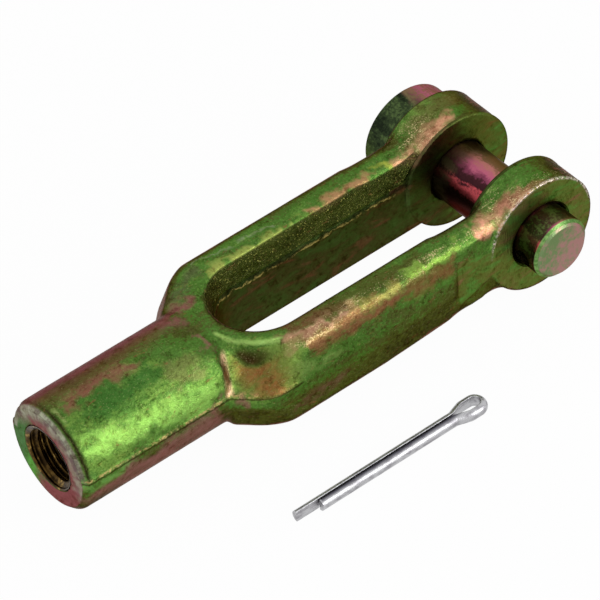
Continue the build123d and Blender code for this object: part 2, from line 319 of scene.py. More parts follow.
class ForgingZones:
    """Where the fork is milled, bored, punched or left as forged.

    The same masks shape the skin in the geometry tree and colour it in the shader tree. Each one
    is made where it is first asked for.
    """

    def __init__(self, graph: Graph, position: Socket, normal: Socket, sizes: ForgingSizes) -> None:
        """Split the position and normal up.

        Args:
            graph: Tree that gets the nodes.
            position: Position in metres, in the frame.
            normal: Surface normal.
            sizes: The fork's sizes.
        """
        self.graph = graph
        self.sizes = sizes
        self.smooth, self.bell, self.either = graph.smooth, graph.bell, graph.either
        self.millimetres = graph.scale(position, 1 / MM)
        self.x, self.y, self.z = graph.axes(self.millimetres)
        self.nx, self.ny, _ = graph.axes(normal)

    def distance(self, first: Socket, second: Socket) -> Socket:
        """Length of a step with two parts at right angles."""
        return self.graph.math("SQRT", first * first + second * second)

    def near(self, place: Point, reach: float) -> Socket:
        """Mask that is 1 at a place and fades out at a distance, both in millimetres."""
        return self.smooth(self.graph.measure("DISTANCE", self.millimetres, place), reach, reach * 0.35)

    @cached_property
    def wander(self) -> Socket:
        """Slow shift up and down, in millimetres, for lines that aren't straight."""
        return (self.graph.noise(self.millimetres, 0.25, 3.0, 0.7) - 0.5) * 2.4

    @cached_property
    def from_pin(self) -> Socket:
        """Distance from the clevis pin's axis."""
        return self.distance(self.x, self.z)

    @cached_property
    def from_thread(self) -> Socket:
        """Distance from the thread's axis."""
        return self.distance(self.y, self.z)

    @cached_property
    def from_rim(self) -> Socket:
        """Distance outward from the rim round the crotch."""
        return self.distance(self.x - self.sizes.crotch, self.y) - self.sizes.rim_radius

    @cached_property
    def in_slot(self) -> Socket:
        """Distance from the slot's middle line, round the crotch as well."""
        behind = self.graph.math("MINIMUM", self.x - self.sizes.crotch, 0.0)
        return self.distance(behind, self.y)

    @cached_property
    def flat_y(self) -> Socket:
        """Faces square to the clevis pin."""
        return self.smooth(abs(self.ny), 0.9, 0.98)

    @cached_property
    def milled(self) -> Socket:
        """The near ear's milled face."""
        face, radius = self.sizes.near_face, self.sizes.facing_radius
        return self.smooth(self.y, face + 0.15, face + 0.05) * self.flat_y \
            * self.smooth(self.from_pin, radius + 0.3, radius - 0.1)

    @cached_property
    def far_face(self) -> Socket:
        """The far ear's outer face."""
        return self.smooth(self.y, self.sizes.far_face - 0.2, self.sizes.far_face - 0.1) * self.flat_y

    @cached_property
    def bored(self) -> Socket:
        """The ears' bores."""
        return self.smooth(self.from_pin, self.sizes.bore_radius + 0.6, self.sizes.bore_radius + 0.4)

    @cached_property
    def punched(self) -> Socket:
        """The slot's straight walls, below the punch line."""
        return self.smooth(self.in_slot, self.sizes.slot_half + 0.3, self.sizes.slot_half + 0.15)

    @cached_property
    def mouth(self) -> Socket:
        """The flat ring round the tapped hole."""
        return self.smooth(self.x, self.sizes.mouth + 0.35, self.sizes.mouth + 0.15) \
            * self.smooth(self.nx, -0.8, -0.95)

    @cached_property
    def machined(self) -> Socket:
        """Everything that a tool has cut."""
        return self.either(self.milled, self.far_face, self.bored, self.punched, self.mouth)

    @cached_property
    def jaw(self) -> Socket:
        """The ears' inner faces."""
        return self.punched * self.smooth(self.x, self.sizes.jaw_start - 1.0, self.sizes.jaw_start)

    @cached_property
    def slot_wall(self) -> Socket:
        """The slot's drafted walls, above the punch line."""
        return self.smooth(self.in_slot, 9.9, 9.7) * (1 - self.punched) \
            * self.smooth(self.z, self.sizes.arm_top - 0.2, self.sizes.arm_top - 0.8)

    @cached_property
    def bend(self) -> Socket:
        """Where the arms sweep into the ears."""
        return self.either(*(self.near(place, self.sizes.bend_reach) for place in self.sizes.bends))

    @cached_property
    def sparkle(self) -> Socket:
        """Rough, glittering skin on the bends."""
        return self.either(*(self.near(place, reach) for place, reach in self.sizes.sparkles)) \
            * self.smooth(self.z, 8.2, 9.6)

    @cached_property
    def crest(self) -> Socket:
        """Upper outer edge of the near arm."""
        return self.smooth(abs(self.y - self.sizes.near_crest), 2.2, 0.8) * self.smooth(self.z, 7.4, 8.6) \
            * self.smooth(self.x, -62.0, -58.0)

    @cached_property
    def pocket(self) -> Socket:
        """Wall and floor of the pocket."""
        return self.bell(self.x, 0.5 * (self.sizes.pocket_end + self.sizes.pocket_start), 5.8) \
            * self.smooth(self.y, -6.5, -8.0) * self.smooth(self.z, 0.8, 1.4) * self.smooth(self.z, 8.9, 8.4)

    @cached_property
    def rim(self) -> Socket:
        """Crisp edges of the ears' faces."""
        sizes = self.sizes
        return self.either(
            self.smooth(self.y, sizes.near_face + 0.9, sizes.near_face + 0.6)
            * self.smooth(self.x, -20.0, -17.0),
            self.smooth(self.y, sizes.far_face - 0.9, sizes.far_face - 0.6),
            self.bell(abs(self.y), sizes.jaw_half, 0.9)
            * self.smooth(self.x, sizes.jaw_start - 1.0, sizes.jaw_start + 0.5))

    @cached_property
    def pocket_end(self) -> Socket:
        """Slanting end wall of the pocket."""
        on_lip = self.smooth(self.z, 7.6, 8.4) * self.smooth(self.from_rim, 1.2, 0.4)
        return self.smooth(abs(self.x - self.y - self.sizes.pocket_slant), 6.4, 4.2) \
            * self.smooth(self.y, -9.6, -10.8) * self.smooth(self.z, 1.0, 2.0) * (1 - on_lip)

    @cached_property
    def pocket_ridge(self) -> Socket:
        """Start of the pocket, by the shank."""
        return self.near((self.sizes.pocket_start + 2.6, -7.4, 4.6), 5.6)

    @cached_property
    def lip(self) -> Socket:
        """Chamfer and groove round the mouth."""
        return self.smooth(self.x, self.sizes.mouth + 3.2, self.sizes.mouth + 2.2) \
            * self.smooth(self.from_thread, 8.8, 9.4)

    @cached_property
    def trim(self) -> Socket:
        """Upper edge of the trimmed parting band on the near side."""
        return self.bell(self.z, self.sizes.band_top, 0.8) * self.smooth(self.y, -9.6, -10.4) \
            * self.smooth(self.x, -57.0, -60.0)


# -------------------------------------------------------------------- finishes


class Surface(Enum):
    """Named surfaces that a finish is made for."""

    FORGING = "zinc_on_forging"
    TURNED = "zinc_on_turned_pin"
    THREAD = "zinc_in_thread"
    WIRE = "bright_wire"
    GROUND = "white_ground"


class Finish:
    """A material whose node tree is empty but for its shader and output."""

    def __init__(self, surface: Surface) -> None:
        """Make the material.

        Args:
            surface: The surface that it is made for.
        """
        self.material = bpy.data.materials.new(surface.value)
        self.material.use_nodes = True
        self.graph = Graph(self.material.node_tree)
        self.graph.tree.nodes.clear()
        self.shader = self.graph.node("ShaderNodeBsdfPrincipled", None, {"Metallic": 1.0})
        shown = self.graph.out(self.shader)
        self.output = self.graph.node("ShaderNodeOutputMaterial", None, {"Surface": shown})
        self.coords = self.graph.node("ShaderNodeTexCoord")

    def feed(self, name: str, value: object) -> None:
        """Give one of the shader's inputs a link or a value."""
        self.graph.plug(self.shader, name, value)

    def done(self, colour: Socket, roughness: Socket, height: Socket, depth: float) -> Material:
        """Feed the shader and give the material.

        Args:
            colour: Base colour.
            roughness: Roughness.
            height: Height of the bumps.
            depth: Their depth in millimetres at height 1.

        Returns:
            The finished material.
        """
        self.feed("Base Color", colour)
        self.feed("Roughness", roughness)
        self.feed("Normal", self.graph.made("ShaderNodeBump", None, {
            "Height": height, "Distance": depth * MM, "Strength": 1.0}, "Normal"))
        return self.material

    def position(self) -> Socket:
        """Object coordinates in metres."""
        return self.graph.out(self.coords, "Object")

    def normal(self) -> Socket:
        """Object-space normal."""
        return self.graph.out(self.coords, "Normal")

    def millimetres(self) -> Socket:
        """Object coordinates in millimetres."""
        return self.graph.scale(self.position(), 1 / MM)


@dataclass(frozen=True)
class ZincPalette:
    """Colours of iridescent yellow zinc, in the order in which the film runs through them."""

    mauve: Colour = (112, 82, 74)
    rose: Colour = (150, 104, 92)
    shade: Colour = (62, 70, 40)
    olive: Colour = (84, 94, 48)
    green: Colour = (80, 122, 52)
    bright: Colour = (116, 154, 70)
    gold: Colour = (184, 168, 92)

    def stops(self) -> Stops:
        """Ramp stops from a thick film to a thin one."""
        return [(0.0, self.mauve), (0.12, self.rose), (0.24, self.shade), (0.42, self.olive),
                (0.58, self.green), (0.80, self.bright), (0.94, self.gold)]


@dataclass(frozen=True)
class FilmTintAndHighlight:
    """A place where the zinc's film turns another colour; some of these places are painted highlights, on
    edges and bends that catch the key lamp.
    """

    start: Point
    end: Point
    reach: float
    colour: Colour
    amount: float = 0.8

    def mask(self, graph: Graph, coords: Socket, noise: Socket) -> Socket:
        """How far the place is coloured.

        Args:
            graph: Tree that gets the nodes.
            coords: Position in millimetres.
            noise: Noise that breaks the mask's edge up.

        Returns:
            A value from 0 to the amount.
        """
        span = Vector(self.end) - Vector(self.start)
        offset = graph.vector("SUBTRACT", coords, self.start)
        part = graph.clamp(graph.measure("DOT_PRODUCT", offset, tuple(span / span.length_squared)))
        distance = graph.measure("DISTANCE", offset, graph.scale(tuple(span), part))
        ragged = distance + (noise - 0.5) * (1.0 + self.reach)
        return graph.smooth(ragged, self.reach * 1.3, self.reach * 0.1) * self.amount


FILM_TINTS_AND_HIGHLIGHTS = (
    # painted highlight: the key lamp's streak along the shank's near side
    FilmTintAndHighlight((-100.0, -9.1, 6.5), (-74.0, -10.5, 3.8), 2.6, (152, 206, 98), 0.7),
    FilmTintAndHighlight((-104.0, 6.5, 8.6), (-72.0, 5.5, 9.4), 4.2, (140, 84, 92), 0.9),
    FilmTintAndHighlight((-98.0, -0.6, 11.3), (-86.0, 0.2, 11.3), 2.2, (158, 82, 88), 0.65),
    FilmTintAndHighlight((-101.0, 2.0, 11.0), (-76.0, 3.0, 10.8), 2.8, (104, 92, 58), 0.6),
    FilmTintAndHighlight((-94.0, -4.5, 10.4), (-84.0, -4.4, 10.4), 2.6, (62, 112, 48), 0.8),
    FilmTintAndHighlight((-80.0, -6.4, 9.3), (-74.0, -7.0, 9.0), 2.4, (118, 122, 72), 0.7),
    FilmTintAndHighlight((-102.0, -11.2, -2.5), (-74.0, -11.3, -2.5), 3.4, (154, 110, 106), 0.8),
    FilmTintAndHighlight((-102.5, -11.0, 0.5), (-96.0, -11.2, 0.0), 1.8, (112, 170, 84), 0.8),
    FilmTintAndHighlight((-72.0, 4.6, 9.5), (-68.0, 6.5, 9.5), 2.4, (146, 94, 92), 0.8),
    FilmTintAndHighlight((-71.0, -2.0, 9.6), (-70.0, -4.6, 9.4), 1.4, (142, 98, 92), 0.8),
    FilmTintAndHighlight((-66.0, 9.5, 9.5), (-60.0, 12.5, 9.4), 2.2, (94, 92, 70), 0.6),
    FilmTintAndHighlight((-60.0, 14.2, 9.4), (-42.0, 12.0, 9.5), 0.6, (150, 160, 128), 0.5),
    # painted highlights along the far arm's inner top edge
    FilmTintAndHighlight((-57.0, 9.9, 9.2), (-42.0, 9.5, 9.3), 1.5, (172, 182, 96), 0.8),
    FilmTintAndHighlight((-34.0, 10.2, 9.2), (-20.0, 10.0, 9.3), 1.8, (190, 142, 106), 0.85),
    FilmTintAndHighlight((-16.0, 9.8, 8.9), (-14.0, 9.6, 9.4), 1.6, (188, 196, 84), 0.9),
    # painted highlight on the far bend
    FilmTintAndHighlight((-12.0, 9.2, 9.4), (-2.0, 9.8, 11.8), 2.6, (226, 164, 134), 0.95),
    FilmTintAndHighlight((-6.0, 13.0, 11.0), (2.0, 14.5, 12.0), 3.6, (112, 104, 62), 0.7),
    FilmTintAndHighlight((-59.5, -14.2, 9.0), (-44.0, -14.6, 9.0), 2.0, (190, 142, 118), 0.9),
    FilmTintAndHighlight((-46.0, -14.8, 9.0), (-34.0, -15.4, 8.9), 1.7, (182, 162, 94), 0.6),
    FilmTintAndHighlight((-56.0, -11.2, 9.5), (-47.0, -12.6, 9.5), 1.7, (116, 76, 56), 0.8),
    # painted highlights along the near arm's rounded upper outer edge
    FilmTintAndHighlight((-46.0, -12.4, 9.5), (-28.0, -12.8, 9.5), 2.4, (86, 84, 42), 0.7),
    FilmTintAndHighlight((-55.0, -16.4, 7.6), (-36.0, -16.6, 6.4), 2.2, (150, 96, 72), 0.8),
    FilmTintAndHighlight((-32.0, -16.2, 6.5), (-22.0, -15.8, 5.4), 2.4, (136, 96, 64), 0.75),
    FilmTintAndHighlight((-30.0, -14.9, 8.9), (-20.0, -14.6, 8.9), 1.5, (146, 184, 80), 0.65),
    FilmTintAndHighlight((-13.0, -14.2, 8.9), (-3.6, -14.3, 11.4), 2.6, (228, 160, 136), 0.95),
    FilmTintAndHighlight((-8.0, -13.0, 11.0), (2.0, -15.4, 12.2), 1.8, (134, 98, 66), 0.75),
    # painted highlight along the near arm's upper outer edge by the ear
    FilmTintAndHighlight((-60.0, -17.0, 4.0), (-50.0, -17.0, 3.2), 1.6, (128, 160, 84), 0.6),
    # painted highlight on the near bend
    FilmTintAndHighlight((-58.0, -17.0, -4.6), (-49.0, -17.0, -4.0), 1.8, (112, 84, 70), 0.7),
    FilmTintAndHighlight((-73.0, -11.6, 0.4), (-69.5, -13.4, 0.2), 1.6, (140, 96, 90), 0.8),
# painted highlight on the near arm's parting land
)


@dataclass(frozen=True)
class ForgingFinish:
    """Iridescent zinc over the fork's forged skin and its machined faces."""

    palette: ZincPalette
    sizes: ForgingSizes
    # Direction towards the camera, along which the film's sheen is painted into the colour.
    sheen_view_from: Point = (-0.42, -0.58, 0.70)

    def build(self) -> Material:
        """Make the material.

        Returns:
            The finished material.
        """
        finish = Finish(Surface.FORGING)
        g = finish.graph
        zones = ForgingZones(g, finish.position(), finish.normal(), self.sizes)
        # Painted sheen: the film's colour shifts with how squarely a face meets the camera's direction, as
        # the film's sheen does with the view; drift, streaks and grain vary it at random.
        facing = abs(g.measure("DOT_PRODUCT", finish.normal(), self.sheen_view_from))
        drift = g.noise(zones.millimetres, 0.07, 3.0, 0.6)
        long = g.vector("MULTIPLY", zones.millimetres, (0.35, 1.0, 1.0))
        streaks = g.noise(long, 0.42, 4.0, 0.65, 0.6)
        grain = g.noise(zones.millimetres, 1.7, 4.0, 0.75)
        fleck = g.noise(zones.millimetres, 3.2, 3.0, 0.8)
        film = 0.16 + 0.50 * g.smooth(facing, 0.1, 0.9) + (drift - 0.5) * 0.40 \
            + (streaks - 0.5) * 0.55 + (grain - 0.5) * 0.55
        colour = g.ramp(film, self.palette.stops())
        ragged = streaks * 0.6 + grain * 0.4
        warped = self._warped(g, zones.millimetres)
        colour = g.coat(colour, ((tint_and_highlight.mask(g, warped, ragged), tint_and_highlight.colour) for tint_and_highlight in FILM_TINTS_AND_HIGHLIGHTS))
        colour = g.coat(colour, self._worked(g, zones, streaks))
        forged = 1 - zones.machined
        mottle = g.noise(zones.millimetres, 0.55, 5.0, 0.7, 0.8)
        worn = 0.5 + (grain - 0.5) * 0.8 + (mottle - 0.5) * 1.6
        tone = g.ramp(worn, [(0.15, (176, 168, 150)), (0.5, (236, 234, 226)), (0.85, (255, 255, 255))])
        colour = g.mix(1.0, colour, tone, "MULTIPLY")
        colour = g.mix(g.smooth(fleck, 0.58, 0.72) * 0.45 * forged, colour, (186, 180, 128))
        colour = g.mix(g.smooth(fleck, 0.38, 0.28) * 0.3, colour, (38, 36, 20))
        bright = g.either(zones.sparkle, zones.crest * 0.7)
        glints = g.smooth(fleck + (streaks - 0.5) * 0.7, 0.56, 0.68) * bright
        colour = g.mix(glints * 0.8 * forged, colour, (244, 216, 164))
        # Painted highlight: a whitish line, broken by noise, along the near ear's upper edge.
        ear_edge_highlight = g.bell(zones.from_pin, self.sizes.ear_radius - 0.25, 0.4) * g.smooth(zones.y, -15.2, -15.7) \
            * g.smooth(grain, 0.44, 0.56) * g.smooth(zones.z, 0.0, 5.0)
        colour = g.mix(ear_edge_highlight * 0.9, colour, (226, 206, 196))
        rust = g.noise(long, 0.9, 4.0, 0.8, 0.4)
        colour = g.mix(g.smooth(rust, 0.60, 0.70) * 0.5 * forged, colour, (138, 88, 62))
        finish.feed("Specular Tint", ZINC_TINT)
        roughness = 0.34 + 0.16 * (streaks - 0.5) + 0.05 * zones.machined
        skin = g.noise(zones.millimetres, 1.5, 3.0, 0.6) * forged
        lay = g.noise(g.vector("MULTIPLY", zones.millimetres, (1.0, 1.0, 0.12)), 5.0, 2.0, 0.6) * zones.milled
        glitter = (zones.slot_wall * 1.2 + zones.sparkle * 1.2) * forged
        height = skin * (0.7 + glitter) + lay * 0.6 + fleck * (0.45 + glitter) + mottle * forged * 0.8
        return finish.done(colour, roughness, height, 0.14)

    @staticmethod
    def _warped(g: Graph, coords: Socket) -> Socket:
        """Position shifted a few millimetres by noise, for outlines that wander.

        Args:
            g: Tree that gets the nodes.
            coords: Position in millimetres.

        Returns:
            The shifted position.
        """
        along = (g.noise(coords, 0.24, 4.0) - 0.5) * 14.0
        across = (g.noise(coords, 0.31, 4.0) - 0.5) * 7.0
        shift = g.made("ShaderNodeCombineXYZ", None, {"X": along, "Y": across, "Z": across})
        return g.vector("ADD", coords, shift)

    def _worked(self, g: Graph, zones: ForgingZones, streaks: Socket) -> Layers:
        """Colours of the slot, the milled ear, the trim lines, the mouth and the pocket, with painted shade
        in the slot, under the trim band's edge and in the pocket, and painted highlights on ridges and rims.

        Args:
            g: Tree that gets the nodes.
            zones: The fork's masks.
            streaks: Long noise that breaks the colours up.

        Yields:
            Masks with the colours laid on there, from the lowest layer up.
        """
        sizes, x, y, z = self.sizes, zones.x, zones.y, zones.z
        # Painted shade: the slot's punched and drafted walls are coloured dark for the shade inside the slot.
        punched = g.ramp(streaks, [(0.3, (92, 62, 46)), (0.45, (60, 60, 34)), (0.7, (58, 74, 38))])
        yield zones.punched * 0.85, punched
        wall = g.ramp(streaks, [(0.3, (50, 56, 22)), (0.6, (74, 80, 36))])
        yield zones.slot_wall * 0.9, wall
        glint = g.smooth(g.noise(zones.millimetres, 2.6, 2.0, 0.7), 0.60, 0.68)
        yield glint * zones.slot_wall, (176, 176, 96)
        milled = g.ramp(streaks, [(0.3, (134, 106, 74)), (0.46, (106, 116, 58)), (0.7, (92, 142, 66))])
        jaw = g.ramp(streaks, [(0.3, (112, 92, 50)), (0.5, (92, 104, 48)), (0.75, (86, 138, 62))])
        yield zones.jaw * g.smooth(x + (streaks - 0.5) * 14.0, -6.0, 6.0) * 0.9, jaw
        yield zones.milled * 0.85, milled
        crumb = g.noise(zones.millimetres, 1.1, 3.0, 0.8)
        # Painted highlight: a broken gold line along the raised punch line.
        line = g.bell(z + zones.wander + (crumb - 0.5) * 0.9, sizes.punch_line + 0.3, 0.40) \
            * g.smooth(zones.in_slot, sizes.slot_half + 1.0, sizes.slot_half + 0.5) \
            * g.smooth(x, sizes.jaw_start + 1.0, sizes.jaw_start - 1.5) \
            * g.smooth(crumb + (streaks - 0.5) * 0.8, 0.44, 0.60)
        yield line * 0.85, (206, 186, 112)
        # Painted shade just under the trim band's raised edge, and a painted highlight on top of it.
        ledge = z + (crumb - 0.5) * 0.8
        under = g.bell(ledge, sizes.band_top - 0.35, 0.4) * g.smooth(zones.trim, 0.0, 0.3)
        yield under * 0.8, (58, 46, 26)
        over = g.bell(ledge, sizes.band_top + 0.25, 0.42) * g.smooth(zones.trim, 0.0, 0.3)
        yield over * g.smooth(crumb, 0.44, 0.6), (206, 180, 122)
        # Painted highlight on the rounded ridge where the pocket starts by the shank.
        ridge = g.bell(x - 0.33 * z, sizes.pocket_start - 1.5, 1.5) \
            * g.smooth(y, -5.4, -6.4) * g.smooth(z, 1.2, 2.0) * g.smooth(z, 8.2, 7.2)
        yield ridge * g.smooth(crumb, 0.30, 0.46), (226, 186, 154)
        # Painted highlight along the pocket's rim.
        lip = g.bell(zones.from_rim, -0.1, 0.55) * g.smooth(z, 8.0, 8.8) * g.smooth(y, -2.4, -3.4) \
            * g.smooth(x, sizes.pocket_end + 0.5, sizes.pocket_end - 0.4)
        yield lip, (158, 198, 108)
        yield from self._mouth(g, zones)
        # Painted light: the pocket's slanting end wall is lightened against its shade.
        yield zones.pocket_end * 0.5, (120, 140, 66)
        # Painted shade: a dark band on the pocket's wall below the rim.
        wall = g.bell(zones.from_rim, 0.6, 1.3) * zones.pocket * g.smooth(x, -59.0, -60.6)
        yield wall * g.smooth(z, 8.2, 6.4), (58, 44, 20)
        floor = zones.pocket * g.smooth(zones.from_rim, 1.0, 1.8)
        yield floor * 0.9, g.ramp(streaks, [(0.38, (150, 92, 56)), (0.66, (116, 108, 54))])

    def _mouth(self, g: Graph, zones: ForgingZones) -> Layers:
        """Colours of the ring round the hole, its lip and the groove behind the lip, with painted highlights
        on their upper side and painted shade in the groove.

        Args:
            g: Tree that gets the nodes.
            zones: The fork's masks.

        Yields:
            Masks with the colours laid on there, from the lowest layer up.
        """
        sizes, x, y, z = self.sizes, zones.x, zones.y, zones.z
        spot = g.noise(zones.millimetres, 0.5, 3.0, 0.6)
        ring = g.mix(g.smooth(y + (spot - 0.5) * 8.0, 1.0, 6.0), (164, 98, 106), (98, 150, 98))
        streak = g.bell(y, 5.6, 2.6) * g.smooth(z, -2.0, -5.0)
        ring = g.mix(streak * 0.8, ring, (120, 206, 96))
        # Painted highlight: the ring turns whitish towards its outer edge on the upper side.
        rim = g.smooth(zones.from_thread + (spot - 0.5) * 3.0, 6.6, 8.8) \
            * g.smooth(z + (spot - 0.5) * 4.0 - y * 0.5, -1.0, 3.0)
        ring = g.mix(rim * 0.85, ring, g.ramp(spot, [(0.35, (160, 128, 134)), (0.6, (178, 176, 160))]))
        yield zones.mouth * 0.9, ring
        # Painted highlight: the chamfer round the hole is whitish on its upper side only.
        upper = g.smooth(z + (spot - 0.5) * 3.0, 0.6, 2.4) * g.smooth(zones.from_thread, 8.6, 9.4)
        chamfer = g.smooth(x, sizes.mouth + 1.0, sizes.mouth + 0.5) * upper
        lip = g.mix(g.smooth(spot, 0.40, 0.62), (126, 112, 112), (182, 184, 166))
        yield chamfer * 0.85, lip
        # Painted shade: the groove behind the chamfer is dark on its upper side, darkest on the near side.
        near_side = g.smooth(y + (spot - 0.5) * 4.0, 5.0, -2.0)
        groove = g.bell(x + (spot - 0.5) * 0.6, sizes.mouth + 1.3, 0.75) * upper
        yield groove * (0.35 + 0.6 * near_side), (44, 36, 22)
        # Painted highlight on the ridge behind the groove.
        behind = g.bell(x + (spot - 0.5) * 1.2, sizes.mouth + 2.3, 0.6) * upper * g.bell(y, -2.0, 3.2)
        yield behind * 0.7, (170, 190, 120)


@dataclass(frozen=True)
class PinSizes:
    """Sizes of the clevis pin along and about its axis, in millimetres."""

    radius: float = 6.35
    end: float = -22.0
    end_chamfer: float = 0.9
    edge_round: float = 0.16
    near_face: float = -15.9
    under_head: float = 18.0
    head_radius: float = 10.0
    head_top: float = 23.8
    head_round: float = 0.55
    hole_radius: float = 1.85
    hole_place: float = -17.8
    hole_turn: float = 9.0


@dataclass(frozen=True)
class TurnedFinish:
    """Iridescent zinc over turned steel, as on the clevis pin."""

    sizes: PinSizes
    across: Point = (-0.853, 0.0, -0.522)

    def build(self) -> Material:
        """Make the material.

        Returns:
            The finished material.
        """
        finish = Finish(Surface.TURNED)
        g, coords, sizes = finish.graph, finish.millimetres(), self.sizes
        long = g.vector("MULTIPLY", coords, (1.0, 0.4, 1.0))
        patch = g.noise(long, 0.5, 4.0, 0.6, 0.4)
        fine = g.noise(coords, 1.8, 4.0, 0.75)
        blend = 0.5 + (patch - 0.5) * 1.2 + (fine - 0.5) * 0.9
        x, y, z = g.axes(coords)
        # Painted highlights and reflections: light and dark bands along the pin, placed by the distance
        # across it as seen from the camera.
        across = g.measure("DOT_PRODUCT", coords, self.across)
        stripe = (across + (patch - 0.5) * 4.0 + (fine - 0.5) * 2.4) / (2 * sizes.radius) + 0.5
        colour = g.ramp(stripe, self.stripes())
        dull = g.smooth(y + (patch - 0.5) * 7.0, 2.5, 6.0)
        colour = g.mix(dull * 0.75, colour, g.ramp(blend, [(0.35, (72, 52, 40)), (0.6, (98, 88, 62))]))
        worn = g.smooth(y, sizes.near_face + 1.0, sizes.near_face - 0.5) \
            * g.smooth(y, sizes.end + 0.9, sizes.end + 1.6)
        tip = g.ramp(blend, [(0.3, (92, 78, 50)), (0.5, (52, 54, 28)), (0.7, (92, 112, 58))])
        colour = g.mix(worn * 0.9, colour, tip)
        on_head = g.smooth(y, sizes.under_head - 0.3, sizes.under_head)
        # Painted light on the head: pink and lighter on top, painted shade below, lightened towards the lower
        # left as a painted reflection.
        crown = g.smooth(x + (patch - 0.5) * 6.0, -2.0, 3.0) * g.smooth(z, -1.0, 3.5)
        head_shade = g.ramp(blend, [(0.3, (30, 38, 26)), (0.5, (48, 60, 38)), (0.7, (78, 96, 56))])
        head_shade = g.mix(g.smooth(across, 6.0, 9.0) * 0.6, head_shade, (84, 108, 62))
        head = g.mix(crown, head_shade, g.ramp(blend, [(0.35, (170, 96, 112)), (0.6, (138, 100, 82))]))
        colour = g.mix(on_head, colour, head)
        face = g.smooth(y, sizes.end + 0.46, sizes.end + 0.34)
        cloud = 0.5 - x * 0.04 + z * 0.03 + (g.noise(coords, 0.45, 3.0, 0.65) - 0.5) * 1.5 \
            + (fine - 0.5) * 0.6
        cap = g.ramp(cloud, [(0.3, (164, 124, 118)), (0.52, (142, 130, 106)), (0.75, (112, 134, 90))])
        colour = g.mix(face, colour, cap)
        ring = g.smooth(y, sizes.end + 1.0, sizes.end + 0.8) * (1 - face)
        colour = g.mix(ring, colour, g.ramp(blend, [(0.35, (84, 122, 62)), (0.6, (122, 160, 92))]))
        finish.feed("Specular Tint", ZINC_TINT)
        return finish.done(colour, 0.25 + 0.2 * patch, g.noise(coords, 2.5, 3.0, 0.6), 0.04)

    @staticmethod
    def stripes() -> Stops:
        """Colours across the pin, from its upper right side to its lower left one: pink and red painted
        highlight bands between dark painted reflections.
        """
        return [(0.0, (92, 84, 52)), (0.14, (112, 86, 58)), (0.22, (176, 112, 104)),
                (0.33, (180, 94, 118)), (0.42, (128, 62, 84)), (0.50, (64, 34, 38)),
                (0.59, (56, 30, 34)), (0.66, (186, 78, 84)), (0.72, (150, 60, 66)),
                (0.79, (52, 30, 24)), (1.0, (72, 44, 44))]


@dataclass(frozen=True)
class ThreadFinish:
    """Thread flanks, painted dark for the shade inside the hole, with lighter gold patches at random."""

    colour: Colour = (170, 140, 78)
    shade: Colour = (84, 64, 30)
    dark: Colour = (44, 32, 16)

    def build(self) -> Material:
        """Make the material.

        Returns:
            The finished material.
        """
        finish = Finish(Surface.THREAD)
        g, coords = finish.graph, finish.millimetres()
        patch = g.noise(coords, 0.6, 3.0, 0.6)
        colour = g.ramp(patch, [(0.35, self.dark), (0.55, self.shade), (0.7, self.colour)])
        return finish.done(colour, 0.25 + 0.15 * patch, g.noise(coords, 3.0, 2.0, 0.6), 0.03)


@dataclass(frozen=True)
class WireSizes:
    """Sizes of the split pin and its place on the ground, in millimetres."""

    wire_radius: float = 1.28
    wire_edge: float = 0.12
    leg_gap: float = 0.4
    long_leg: float = 36.9
    short_leg: float = 31.9
    flare_length: float = 2.9
    eye_length: float = 6.1
    eye_half: float = 1.2
    bend_radius: float = 1.6
    place: Point = (-36.5, -33.2, -11.02)


@dataclass(frozen=True)
class WireFinish:
    """Bright zinc on drawn wire."""

    sizes: WireSizes
    colour: Colour = (186, 186, 188)
    shade: Colour = (144, 142, 146)
    dark: Colour = (54, 52, 66)

    def build(self) -> Material:
        """Make the material.

        Returns:
            The finished material.
        """
        finish = Finish(Surface.WIRE)
        g, coords, tip = finish.graph, finish.millimetres(), -self.sizes.short_leg
        patch = g.noise(g.vector("MULTIPLY", coords, (0.4, 1.0, 1.0)), 1.1, 4.0, 0.6)
        x, y, z = g.axes(g.vector("SUBTRACT", coords, self.sizes.place))
        # Painted shade: a dark band along the slit between the legs.
        between = g.bell(y, -0.35, 0.8) * g.smooth(z, 0.3, 0.7) \
            * g.smooth(x, tip, tip + 0.4) * g.smooth(x, 3.0, 0.5)
        colour = g.mix(g.smooth(patch, 0.4, 0.7), self.colour, self.shade)
        colour = g.mix(between * 0.9, colour, self.dark)
        return finish.done(colour, 0.28 + 0.15 * patch, g.noise(coords, 4.0, 2.0, 0.6), 0.03)


# ------------------------------------------------------------- mesh helpers


